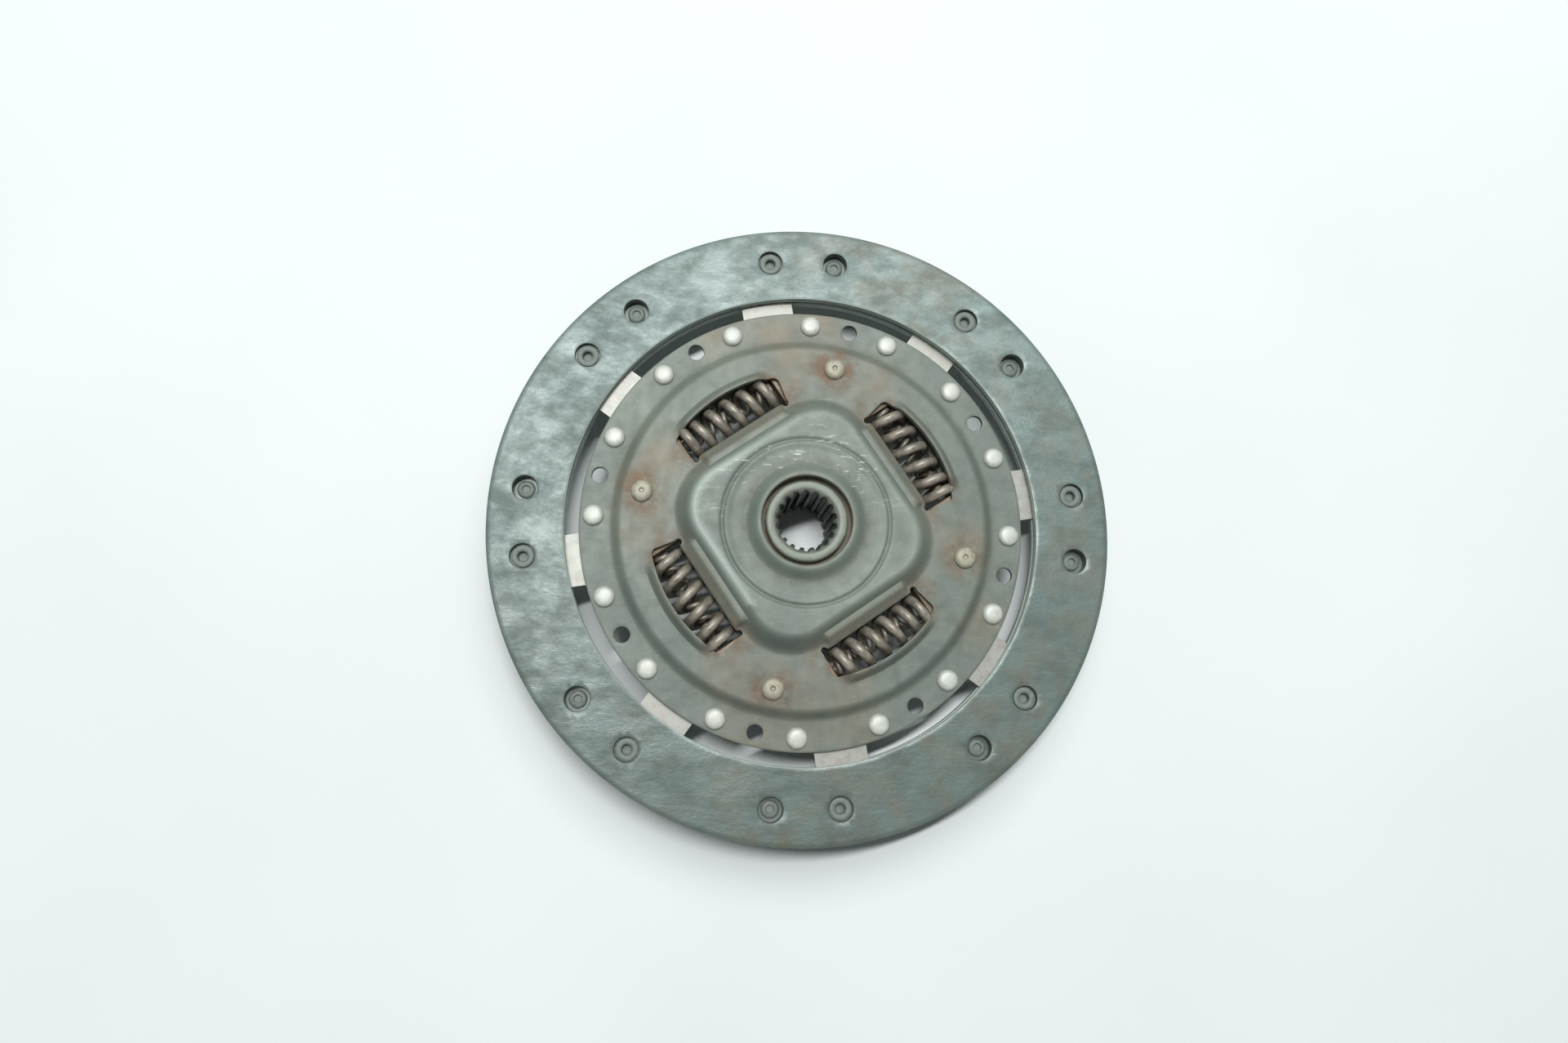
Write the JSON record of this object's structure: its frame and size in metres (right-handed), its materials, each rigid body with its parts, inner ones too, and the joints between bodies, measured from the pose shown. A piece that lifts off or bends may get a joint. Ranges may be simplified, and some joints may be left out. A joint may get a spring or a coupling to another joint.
{
  "type": "clutch disc",
  "caption": "Clutch driven disc: riveted friction facings on a cushioned rim, pressed drive plate with spring windows, coil damper springs and a splined hub.",
  "frame": {"origin": "on the hub's axis, midway between the two friction facings", "axes": "+Z is the disc's axis towards the front face, the side with the domed drive plate; +Y is up in the picture and +X to its right"},
  "size_m": [0.228, 0.228, 0.0345],
  "materials": {
    "friction_lining": "blue-grey moulded friction lining, scuffed",
    "plate_steel": "grey-green phosphated pressed steel with light rust",
    "segment_steel": "tempered spring steel, bare",
    "rivet_steel": "bright worn steel rivets",
    "rivet_brass": "dull coppered rivets",
    "pin_steel": "beige worn steel",
    "spring_steel": "oiled spring steel with brown stain",
    "hub_steel": "machined steel, dulled",
    "friction_washer": "dark moulded friction material"
  },
  "bodies": {
    "hub": {"hub": "hub_steel"},
    "springs": {"damper_spring_1": "spring_steel", "damper_spring_2": "spring_steel", "damper_spring_3": "spring_steel", "damper_spring_4": "spring_steel", "inner_spring_1": "spring_steel", "inner_spring_2": "spring_steel", "inner_spring_3": "spring_steel", "inner_spring_4": "spring_steel"},
    "disc": {"facing_front": "friction_lining", "facing_rear": "friction_lining", "facing_rivets_front": "rivet_brass", "facing_rivets_rear": "rivet_brass", "cushion_segment_1": "segment_steel", "cushion_segment_2": "segment_steel", "cushion_segment_3": "segment_steel", "cushion_segment_4": "segment_steel", "cushion_segment_5": "segment_steel", "cushion_segment_6": "segment_steel", "cushion_segment_7": "segment_steel", "cushion_segment_8": "segment_steel", "segment_rivets": "rivet_steel", "drive_plate": "plate_steel", "retainer_plate": "plate_steel", "stop_pins": "pin_steel", "friction_ring": "friction_washer", "diaphragm_spring": "spring_steel", "guide_bush": "friction_washer", "rear_friction_bush": "friction_washer"}
  },
  "joints": [
    {"name": "damper_twist", "type": "hinge", "parent": "hub", "child": "disc", "pos_m": [0, 0, 0], "axis": [0, 0, 1], "range_deg": [-12, 12], "stiffness_Nm_per_rad": 860},
    {"name": "spring_follow", "type": "hinge", "parent": "hub", "child": "springs", "pos_m": [0, 0, 0], "axis": [0, 0, 1], "range_deg": [-6, 6], "deforming": ["damper_spring_1", "damper_spring_2", "damper_spring_3", "damper_spring_4", "inner_spring_1", "inner_spring_2", "inner_spring_3", "inner_spring_4"]}
  ],
  "couplings": [
    {"joint": "spring_follow", "follows": "damper_twist", "ratio": 0.5}
  ]
}
